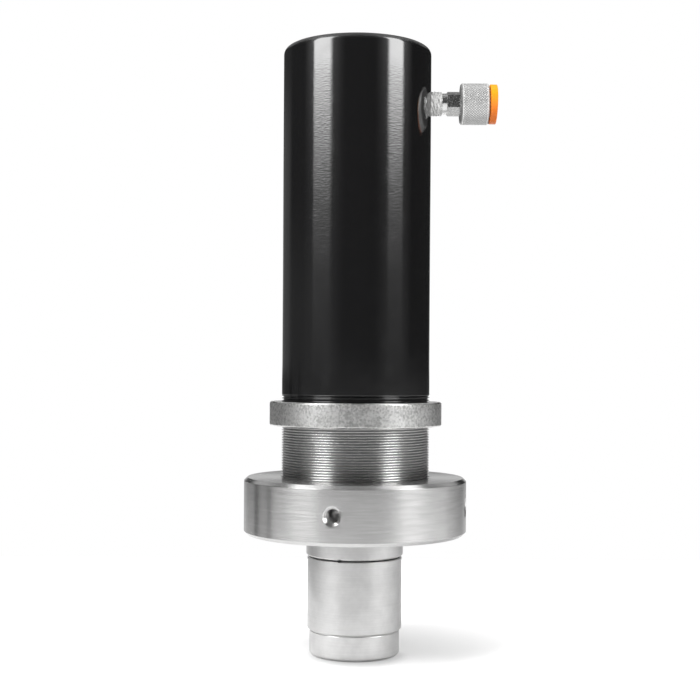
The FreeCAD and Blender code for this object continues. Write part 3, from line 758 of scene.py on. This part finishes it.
# Coupler body: nipple, neck, hexagon and nose in one turned bar, plated, screwed into the port.
# Tape seals its thread, and a cone inside the nose seats the valve.
nipple_end = 48.5
nipple_root_r = 7.5
nipple_crest_r = 8.24
nipple_pitch = 1.4
nipple_turns = 11
nipple_edge = 0.6
nipple_first_turn = 49.3
nipple_root_end = 65.9
neck_foot = 66.0
neck_r = 8.1
hex_flat_r = 8.5
hex_foot = 69.7
hex_top = 80.0
hex_skirt = 1.0
hex_turn = math.radians(54.7)
hex_chamfer = math.radians(30)
hex_least_chamfer = 0.02
hex_slack = 0.01
snout_r = 8.3
snap_groove = (84.6, 86.2)
snap_groove_r = 7.6
snout_taper = (93.2, 94.7)
snout_tip_r = 7.0
snout_end = 98.2
snout_edge = 0.8
valve_bore_r = 5.5
valve_cone = 92.0
valve_seat = 95.2
valve_seat_r = 3.2
valve_seat_land = 0.6
valve_mouth_r = 4.5
coupler_steps = 96

plating = Finish("dull_bright_plating", {"Metallic": 1.0})
x, y, z = plating.place()
haze = plating.grain(x * 0.5, y * 0.5, z * 0.5, 4.0, 0.6)
plating.feed("Base Color", plating.blend(haze, (0.7, 0.7, 0.7), (0.93, 0.93, 0.92)))
plating.feed("Roughness", plating.ramp(haze, 0.3, 0.7, 0.2, 0.34))
plating.emboss(tool_marks(plating, y, z - port_height, x, 0.35), 0.006)

bm = spun([
    (valve_bore_r, nipple_end), (nipple_root_r - nipple_edge, nipple_end),
    (nipple_root_r, nipple_end + nipple_edge), (nipple_root_r, nipple_root_end),
    (neck_r, neck_foot), (neck_r, hex_foot), (hex_flat_r, hex_foot),
    (hex_flat_r, hex_foot + hex_skirt), (hex_flat_r, hex_top - hex_skirt), (hex_flat_r, hex_top),
    (snout_r, hex_top), (snout_r, snap_groove[0]), (snap_groove_r, snap_groove[0]),
    (snap_groove_r, snap_groove[1]), (snout_r, snap_groove[1]), (snout_r, snout_taper[0]),
    (snout_tip_r, snout_taper[1]), (snout_tip_r, snout_end - snout_edge),
    (snout_tip_r - snout_edge, snout_end), (valve_mouth_r, snout_end), (valve_mouth_r, valve_seat),
    (valve_seat_r, valve_seat), (valve_seat_r, valve_seat - valve_seat_land),
    (valve_bore_r, valve_cone),
], steps=coupler_steps)
for vert in bm.verts:
    foot_row = abs(vert.co.z - hex_foot - hex_skirt) < hex_slack
    top_row = abs(vert.co.z - hex_top + hex_skirt) < hex_slack
    if foot_row or top_row:
        past_corner = math.atan2(vert.co.y, vert.co.x) % (math.pi / 3)
        reach = hex_flat_r / math.cos(past_corner - math.pi / 6)
        chamfer = (reach - hex_flat_r) * math.tan(hex_chamfer) + hex_least_chamfer
        vert.co.x *= reach / hex_flat_r
        vert.co.y *= reach / hex_flat_r
        vert.co.z = hex_foot + chamfer if foot_row else hex_top - chamfer
wind_thread(
    bm, nipple_root_r, nipple_crest_r, nipple_pitch, nipple_first_turn, nipple_turns, steps=48,
)
bmesh.ops.rotate(bm, cent=(0, 0, 0), matrix=Matrix.Rotation(hex_turn, 3, "Z"), verts=bm.verts)
bmesh.ops.transform(bm, matrix=lie(0, port_height), verts=bm.verts)
show(bm, "plated_coupler_body", "barrel", plating, ["coupler_body"])

# Thread tape: thin white sealing tape wound round the nipple's thread before it went in.
# Its turns lie over each other in slanting folds, and the outer edge is frayed.
tape_start = 57.0
tape_end = 65.7
tape_r = 8.95
tape_inner_r = 8.26
tape_turn = 2.6
tape_rows = 44
tape_fold = 0.36
tape_pucker = 0.55
tape_fray = 0.5
pucker_round = 9.0
pucker_along = 1.3
pucker_coarse = 0.55
pucker_fine = 1.3
fray_count = 4
fray_seed = Vector((0, 0, 5))

white_tape = Finish("white_sealing_tape", {"Base Color": (0.82, 0.82, 0.81, 1), "Roughness": 0.55})
x, y, z = white_tape.place()
# Where the crease noise is low, the white tape is painted grey: painted shade for its folds.
fold_shade_grey = (0.5, 0.5, 0.49)
fold_white = (0.97, 0.97, 0.96)
crease = white_tape.grain(x + z * 0.35, y * 0.25, z * 0.15, 3.0, 0.6)
white_tape.feed(
    "Base Color", white_tape.blend(white_tape.ramp(crease, 0.35, 0.5), fold_shade_grey, fold_white),
)
white_tape.emboss(crease, 0.25)

tape_width = tape_end - tape_start
tape_wall = [tape_start + tape_width * row / tape_rows for row in range(tape_rows + 1)]
bm = spun([
    (tape_inner_r, tape_start), *[(tape_r, station) for station in tape_wall], (tape_inner_r, tape_end),
])
for vert in bm.verts:
    outward = Vector((*vert.co.xy, 0)).normalized()
    if math.hypot(*vert.co.xy) > tape_r - 0.1:
        wound = vert.co.z / tape_turn + math.atan2(vert.co.y, vert.co.x) / math.tau
        lap = (wound % 1.0) ** 2
        spot = Vector((outward.x * pucker_round, outward.y * pucker_round, vert.co.z * pucker_along))
        pucker = noise.noise(spot * pucker_coarse) + noise.noise(spot * pucker_fine) / 2
        vert.co += outward * (tape_fold * lap + tape_pucker * pucker)
    fray = tape_fray * noise.noise(outward * fray_count + fray_seed)
    vert.co.z += fray * (vert.co.z - tape_start) / tape_width
bmesh.ops.transform(bm, matrix=lie(0, port_height), verts=bm.verts)
show(bm, "folded_thread_tape", "barrel", white_tape, ["thread_tape"])

# Coupler collar: a plated steel ring that turns freely on the nose, knurled for a bare hand.
# The knurl is cut by two wheels whose teeth slant opposite ways, so it stands up in diamonds.
collar_r = 16.0
collar_foot = 80.35
collar_top = 102.15
collar_edge = 1.1
collar_lip_top = 84.35
collar_lip_r = 8.55
collar_bore_r = 12.8
collar_mouth = 0.8
knurl_foot = 82.3
knurl_tooth = 1.056
knurl_rows = 17
knurl_depth = 0.3
knurl_columns = 96

knurled_plating = Finish("knurled_plating", {"Metallic": 0.55})
x, y, z = knurled_plating.place()
# Down in the knurl's valleys the plating is painted dark as painted shade, lightening up to the teeth.
# Dirt adds random tone.
shaded_valley_grey = (0.32, 0.32, 0.32)
tooth_grey = (0.96, 0.96, 0.95)
from_axis = (y * y + (z - port_height) * (z - port_height)) ** 0.5
valley_shade_ramp = knurled_plating.ramp(from_axis, collar_r - knurl_depth, collar_r)
dirt = knurled_plating.grain(x * 0.35, y * 0.35, z * 0.35, 3.0)
knurled_plating.feed(
    "Base Color", knurled_plating.blend(valley_shade_ramp + dirt * 0.35, shaded_valley_grey, tooth_grey),
)
knurled_plating.feed("Roughness", knurled_plating.ramp(dirt, 0.3, 0.7, 0.42, 0.5))

bm = spun([
    (collar_lip_r, collar_foot), (collar_r - collar_edge, collar_foot),
    (collar_r, collar_foot + collar_edge),
    *[(collar_r, knurl_foot + knurl_tooth * row) for row in range(knurl_rows + 1)],
    (collar_r, collar_top - collar_edge), (collar_r - collar_edge, collar_top),
    (collar_bore_r + collar_mouth, collar_top), (collar_bore_r, collar_top - collar_mouth),
    (collar_bore_r, collar_lip_top), (collar_lip_r, collar_lip_top),
], steps=knurl_columns)
valleys = []
for vert in bm.verts:
    row = round((vert.co.z - knurl_foot) / knurl_tooth)
    column = round(math.atan2(vert.co.y, vert.co.x) / math.tau * knurl_columns)
    on_knurl = 0 <= row <= knurl_rows and math.hypot(*vert.co.xy) > collar_r - 0.1
    if on_knurl and (row + column) % 2 == 0:
        valleys.append(vert)
        vert.co.x *= 1 - knurl_depth / collar_r
        vert.co.y *= 1 - knurl_depth / collar_r
bmesh.ops.connect_verts(bm, verts=valleys)
bmesh.ops.transform(bm, matrix=lie(0, port_height), verts=bm.verts)
show(
    bm, "knurled_coupler_collar", "coupler_collar", knurled_plating,
    ["coupler_collar"],
)

# Dust plug: moulded orange plastic, with a hollow shank screwed into the collar's mouth.
# It doesn't sit quite square. It is painted paler above and deeper below: painted light from above and
# painted shade beneath.
plug_foot = 103.05
plug_top = 108.4
plug_r = 15.3
plug_edge = 0.45
plug_dish_r = 11.8
plug_dish_edge = 0.5
plug_dish_depth = 0.25
plug_shank_r = 12.45
plug_shank_foot = 96.05
plug_wall = 2.0
plug_tilt = math.radians(1.2)

orange = Finish("orange_plastic", {"IOR": 1.5})
x, y, z = orange.place()
shaded_lower_orange = (1.0, 0.2, 0.015)
lit_upper_orange = (1.0, 0.42, 0.012)
# Painted light and shade: paler orange towards the top, deeper orange towards the bottom.
height = orange.ramp(z, port_height - plug_r, port_height + plug_r)
cloudy = orange.grain(x * 0.3, y * 0.12, z * 0.12, 3.0)
orange.feed("Base Color", orange.blend(height * 0.8 + cloudy * 0.2, shaded_lower_orange, lit_upper_orange))
orange.feed("Roughness", orange.ramp(cloudy, 0.3, 0.7, 0.32, 0.46))
orange.emboss(orange.grain(x, y, z, 3.0), 0.03)

bm = spun([
    (0, plug_top - plug_dish_depth), (plug_dish_r, plug_top - plug_dish_depth),
    (plug_dish_r + plug_dish_edge, plug_top),
    (plug_r, plug_top), (plug_r, plug_foot), (plug_shank_r, plug_foot),
    (plug_shank_r, plug_shank_foot), (plug_shank_r - plug_wall, plug_shank_foot),
    (plug_shank_r - plug_wall, plug_top - plug_wall), (0, plug_top - plug_wall),
], steps=128)
ease(
    bm, plug_edge, segments=3,
    where=lambda edge: all(math.hypot(*v.co.xy) > plug_shank_r - 0.5 for v in edge.verts),
)
bmesh.ops.rotate(
    bm, cent=(0, 0, plug_foot), matrix=Matrix.Rotation(plug_tilt, 3, "Y"), verts=bm.verts,
)
bmesh.ops.transform(bm, matrix=lie(0, port_height), verts=bm.verts)
show(bm, "moulded_dust_plug", "dust_plug", orange, ["dust_plug"])

# Return spring and valve spring: open coils of oiled spring wire with both ends ground flat.
# Each stands on a fixed seat, and the piston or the poppet presses it together.
coil_steps = 48
wire_sides = 16
return_turns = 7
return_wire_r = 4.0
valve_turns = 5
valve_wire_r = 0.45


def wind_spring(mean_r, wire_r, turns, low, high):
    """Winds a round wire up from below low to above high, and grinds both ends off."""
    pitch = (high - low) / turns
    upright = Matrix.Rotation(math.radians(90), 4, "X")
    start = Matrix.Translation((mean_r, 0, low - pitch / 2))
    bm = bmesh.new()
    bmesh.ops.create_circle(bm, segments=wire_sides, radius=wire_r, matrix=start @ upright)
    bmesh.ops.spin(
        bm, geom=bm.verts[:] + bm.edges[:], cent=(0, 0, 0), axis=(0, 0, 1),
        dvec=(0, 0, pitch / coil_steps), angle=math.tau * (turns + 1),
        steps=coil_steps * (turns + 1), use_merge=False,
    )
    for height, outward in (low, -1), (high, 1):
        ground = bmesh.ops.bisect_plane(
            bm, geom=bm.verts[:] + bm.edges[:] + bm.faces[:], dist=1e-5,
            plane_co=(0, 0, height), plane_no=(0, 0, outward), clear_outer=True,
        )["geom_cut"]
        rim = [item for item in ground if isinstance(item, bmesh.types.BMEdge)]
        bmesh.ops.holes_fill(bm, edges=rim, sides=0)
    return bm


spring_steel = Finish("oiled_spring_steel", {"Metallic": 1.0})
x, y, z = spring_steel.place()
film = spring_steel.grain(x * 0.2, y * 0.2, z * 0.2, 4.0)
spring_steel.feed("Base Color", spring_steel.blend(film, (0.08, 0.085, 0.1), (0.2, 0.2, 0.21)))
spring_steel.feed("Roughness", spring_steel.ramp(film, 0.3, 0.7, 0.28, 0.5))

lowest, highest = (Vector(corner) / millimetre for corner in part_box("return_spring"))
bm = wind_spring(highest.x - return_wire_r, return_wire_r, return_turns, lowest.z, highest.z)
coil = show(bm, "return_spring_coil", "barrel", spring_steel, ["return_spring"])
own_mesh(coil)

lowest, highest = (Vector(corner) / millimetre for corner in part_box("valve_spring"))
bm = wind_spring(highest.y - valve_wire_r, valve_wire_r, valve_turns, lowest.x, highest.x)
bmesh.ops.transform(bm, matrix=lie(0, port_height), verts=bm.verts)
coil = show(bm, "valve_spring_coil", "barrel", spring_steel, ["valve_spring"])
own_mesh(coil)

# Works inside: sleeve, piston, seals and valve, which show only through a bore.
# The solids have the right shape, so they only get their finishes.
bronze = Finish("bearing_bronze", {"Metallic": 1.0})
x, y, z = bronze.place()
lighter_share = tool_marks(bronze, x, y, z, 0.4)
bronze.feed("Base Color", bronze.blend(lighter_share, (0.42, 0.24, 0.1), (0.72, 0.47, 0.22)))
bronze.feed("Roughness", bronze.ramp(lighter_share, 0.3, 0.7, 0.3, 0.42))

nylon = Finish("natural_nylon")
x, y, z = nylon.place()
milky = nylon.grain(x * 0.3, y * 0.3, z * 0.3, 3.0)
nylon.feed("Base Color", nylon.blend(milky, (0.66, 0.63, 0.54), (0.8, 0.78, 0.7)))
nylon.feed("Roughness", nylon.ramp(milky, 0.3, 0.7, 0.4, 0.55))

works = {
    "end_cap_o_ring": rubber, "gland_o_ring": rubber, "rod_o_ring": rubber,
    "pad_retaining_ring": rubber, "piston_cup_seal": rubber, "rod_bearing": bronze,
    "piston_backup_ring": nylon, "piston_wear_ring": nylon, "stop_sleeve": spring_steel,
    "collar_snap_ring": spring_steel, "piston_nut": black_oxide, "piston": turned_steel,
    "valve_poppet": plating, "valve_spring_disc": plating,
}
for node, finish in works.items():
    solid = bpy.data.objects[node]
    solid.data.materials.clear()
    solid.data.materials.append(finish.owner)

# Floor: white, with a painted contact shadow where the foot stands, and a glow of its own so that only
# a pale shadow shows.
# It rides on the ram, because the object stands on its ram head, and is clear from below.
floor_half = 0.5
floor_white = 0.8
floor_glow = (0.24, 0.85)
floor_glow_radius = (20.0, 240.0)
contact_centre = (2.0, -14.0)
contact_reach = (20.0, 46.0)
contact_shadow_white = 0.35
floor_fade_radius = (260.0, 460.0)
mirrored_glow = 0.1

white_floor = Finish("white_floor")
x, y, z = white_floor.place()
radius = (x * x + y * y) ** 0.5
aside = x - contact_centre[0]
ahead = y - contact_centre[1]
contact = (aside * aside + ahead * ahead) ** 0.5
# Painted contact shadow: the floor's white drops near the foot.
whiteness = white_floor.ramp(contact, *contact_reach, contact_shadow_white, floor_white)
paint = white_floor.node("ShaderNodeBsdfDiffuse", inputs={"Color": whiteness})
ray = white_floor.node("ShaderNodeLightPath")
to_camera = ray.other("Is Camera Ray")
to_mirror = ray.other("Is Glossy Ray") + ray.other("Is Transmission Ray")
seen = to_camera * white_floor.ramp(radius, *floor_glow_radius, *floor_glow)
glow = white_floor.node(
    "ShaderNodeEmission", inputs={"Strength": seen + to_mirror * mirrored_glow},
)
whole = white_floor.node("ShaderNodeAddShader", inputs={0: paint, 1: glow})
gone = white_floor.node("ShaderNodeBsdfTransparent")
from_below = white_floor.node("ShaderNodeNewGeometry").other("Backfacing")
thin = white_floor.ramp(radius, *floor_fade_radius) * (1 - to_camera)
thinned = white_floor.node(
    "ShaderNodeMixShader", inputs={0: thin.math("MAXIMUM", thin, from_below), 1: whole, 2: gone},
)
floor_tree = white_floor.tree
floor_tree.nodes.remove(white_floor.shader)
white_floor.feed(floor_tree.nodes["Material Output"].inputs["Surface"], thinned)

bm = bmesh.new()
bmesh.ops.create_grid(bm, x_segments=1, y_segments=1, size=floor_half)
floor_mesh = bpy.data.meshes.new("floor")
bm.to_mesh(floor_mesh)
bm.free()
floor_mesh.materials.append(white_floor.owner)
floor = bpy.data.objects.new("floor", floor_mesh)
bpy.context.scene.collection.objects.link(floor)
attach(floor, "ram")

# Room: plain white to look at and for soft light. Mirror images see a studio in it instead.
# Turns go to the right from the camera's side, lifts up from the horizon, both in degrees.
# A side is two turns with the width over which the light eases off at each.
room_fill = 0.34
side_fill = 0.8
side_fill_lift = (10.0, 35.0)
panel_glare = 5.8
panel_foot = 13.5
panel_falloff = 2.2
panel_top = (42.0, 50.0)
panel_sides = ((-71.0, 3.0, -41.0, 7.0), (48.7, 6.0, 74.4, 5.0))
halo_sides = ((-80.0, 24.0, -32.0, 30.0), (40.0, 30.0, 84.0, 24.0))
halo_share = 0.06
halo_white = 0.1
wall_white = 0.022
haze_lift = (20.0, 26.0)
haze_white = 0.07
behind = (158.0, 172.0)
behind_lift = (3.0, 12.0)
behind_white = (0.85, 0.04)
left_back_side = (-162.0, 8.0, -126.0, 14.0)
left_back_lift = (9.5, 14.0)
left_back_white = (0.13, 0.03)
left_wall_side = (-128.0, 12.0, -80.0, 12.0)
left_wall_lift = (3.0, 8.0)
left_wall_white = 0.05
overhead_lift = (50.0, 57.0, 74.0, 80.0)
overhead_turn = (84.0, 96.0, 118.0, 130.0)
overhead_white = 1.8
zenith_lift = (60.0, 85.0)
zenith_white = 0.2
back_turn = (118.0, 130.0, 155.0, 175.0)
back_lift = (18.0, 26.0)
back_white = (0.35, 0.06)
ground_drop = (0.5, 11.0)
ground_white = (0.08, 1.0)
far_ground_turn = (142.0, 160.0)
far_ground_drop = (0.0, 3.0)
far_ground_white = 0.35
dim_ground_turns = (108.0, 140.0, 84.0, 110.0)
dim_ground_drop = (7.0, 11.0)
dim_ground_share = (0.45, 0.25)
lit_ground_side = (40.0, 30.0, 108.0, 14.0)
lit_ground_share = 0.35
dark_strips = (((-102.0, 3.0, -94.0, 3.0), 0.42), ((-126.0, 3.0, -117.0, 3.0), 0.4))
horizon = (-0.5, 0.5)

room = Finish("room", owner=bpy.data.worlds.new("room"))
bpy.context.scene.world = room.owner
split = room.node("ShaderNodeSeparateXYZ", inputs={
    "Vector": room.node("ShaderNodeTexCoord", output="Generated"),
})
turn = split.math("ARCTAN2", split.other("X"), 0 - split.other("Y")) * math.degrees(1)
lift = split.math("ARCSINE", split.other("Z")) * math.degrees(1)
drop = 0 - lift
away = turn.math("ABSOLUTE", turn)


def between(low, low_soft, high, high_soft):
    """One between two turns, eased to nought over a width at each side."""
    rise = room.ramp(turn, low - low_soft / 2, low + low_soft / 2)
    return rise * room.ramp(turn, high - high_soft / 2, high + high_soft / 2, 1.0, 0.0)


def bump(angle, low, low_end, high, high_end):
    """One between low_end and high, eased to nought at low and at high_end."""
    return room.ramp(angle, low, low_end) * room.ramp(angle, high, high_end, 1.0, 0.0)


panels = between(*panel_sides[0]) + between(*panel_sides[1])
halos = between(*halo_sides[0]) + between(*halo_sides[1])
from_foot = (lift - panel_foot) / panel_falloff
glare = lift.math("MINIMUM", 1.0, lift.math("EXPONENT", from_foot)) * panel_glare
glare = glare * room.ramp(lift, *panel_top, 1.0, 0.0)
above = (panels + halos * halo_share) * glare + halos * halo_white + wall_white
above = above + room.ramp(lift, *haze_lift, 0.0, haze_white)
above = above + room.ramp(away, *behind) * room.ramp(lift, *behind_lift, *behind_white)
above = above + between(*left_back_side) * room.ramp(lift, *left_back_lift, *left_back_white)
above = above + between(*left_wall_side) * room.ramp(lift, *left_wall_lift, left_wall_white, 0.0)
above = above + bump(lift, *overhead_lift) * bump(away, *overhead_turn) * overhead_white
above = above + room.ramp(lift, *zenith_lift, 0.0, zenith_white)
back_wall = room.ramp(away, *back_turn[:2]) * room.ramp(away, *back_turn[2:], *back_white)
above = above + room.ramp(lift, *back_lift) * back_wall
ground = room.ramp(drop, *ground_drop, *ground_white)
far_ground = room.ramp(away, *far_ground_turn)
ground = ground + far_ground * room.ramp(drop, *far_ground_drop, 0.0, far_ground_white)
dim = room.ramp(turn, *dim_ground_turns[:2]) + room.ramp(0 - turn, *dim_ground_turns[2:])
patchy = 1 + halos * halo_white + between(*lit_ground_side) * lit_ground_share
patchy = patchy - dim * room.ramp(drop, *dim_ground_drop, *dim_ground_share)
for side, share in dark_strips:
    patchy = patchy - between(*side) * share
underfoot = room.ramp(drop, *horizon)
studio = above * (1 - underfoot) + ground * patchy * underfoot
ray = room.node("ShaderNodeLightPath")
to_mirror = ray.other("Is Glossy Ray") + ray.other("Is Transmission Ray")
level = lift.math("ABSOLUTE", lift)
fill = room.ramp(level, *side_fill_lift, room_fill + side_fill, room_fill)
light = studio * to_mirror + fill * ray.other("Is Diffuse Ray") + ray.other("Is Camera Ray")
backdrop = room.tree.nodes["Background"]
room.feed(backdrop.inputs["Color"], (1, 1, 1, 1))
room.feed(backdrop.inputs["Strength"], light)

# Lamps: a large softbox high on the left casts the shadow, a weak one on the right fills.
# The room's two panels stand in for them in mirror images.
lamp_aim = Vector((0, 0, 0.2))
lamp_distance = 2.0
left_glare = 11.0
right_glare = 3.0


def softbox(name, turn, spread, low, high, glare):
    """A soft panel seen from the aim at a turn from the camera's side, between two elevations."""
    middle = math.radians((low + high) / 2)
    turn = math.radians(turn)
    heading = Vector((
        math.sin(turn) * math.cos(middle), -math.cos(turn) * math.cos(middle), math.sin(middle),
    ))
    lamp = bpy.data.lights.new(name, "AREA")
    lamp.shape = "RECTANGLE"
    lamp.size = 2 * lamp_distance * math.tan(math.radians(spread / 2))
    lamp.size_y = 2 * lamp_distance * math.tan(math.radians((high - low) / 2))
    lamp.energy = glare * math.pi * lamp.size * lamp.size_y
    box = bpy.data.objects.new(name, lamp)
    box.location = lamp_aim + heading * lamp_distance
    box.rotation_euler = heading.to_track_quat("Z", "Y").to_euler()
    box.visible_camera = False
    box.visible_glossy = False
    bpy.context.scene.collection.objects.link(box)


softbox("left_softbox", turn=-50, spread=30, low=35, high=65, glare=left_glare)
softbox("right_softbox", turn=64, spread=28, low=12.5, high=40, glare=right_glare)

# Camera: level, a metre in front, leaning a third of a degree.
# Its picture is shifted up a little, to take in the whole cylinder.
camera_place = Vector((-0.0045, -1.001, 0.219))
camera_lean = math.radians(0.36)
camera_sensor = 36.0
camera_lens = 65.83
camera_rise = 0.0323
camera = bpy.data.objects.new("camera", bpy.data.cameras.new("camera"))
camera.data.sensor_width = camera_sensor
camera.data.lens = camera_lens
camera.data.shift_y = camera_rise
camera.data.clip_end = 100.0
upright = Matrix.Rotation(math.radians(90), 4, "X")
camera.matrix_world = Matrix.Translation(camera_place) @ upright @ Matrix.Rotation(camera_lean, 4, "Z")
bpy.context.scene.collection.objects.link(camera)
bpy.context.scene.camera = camera
bpy.context.scene.view_settings.view_transform = "Standard"
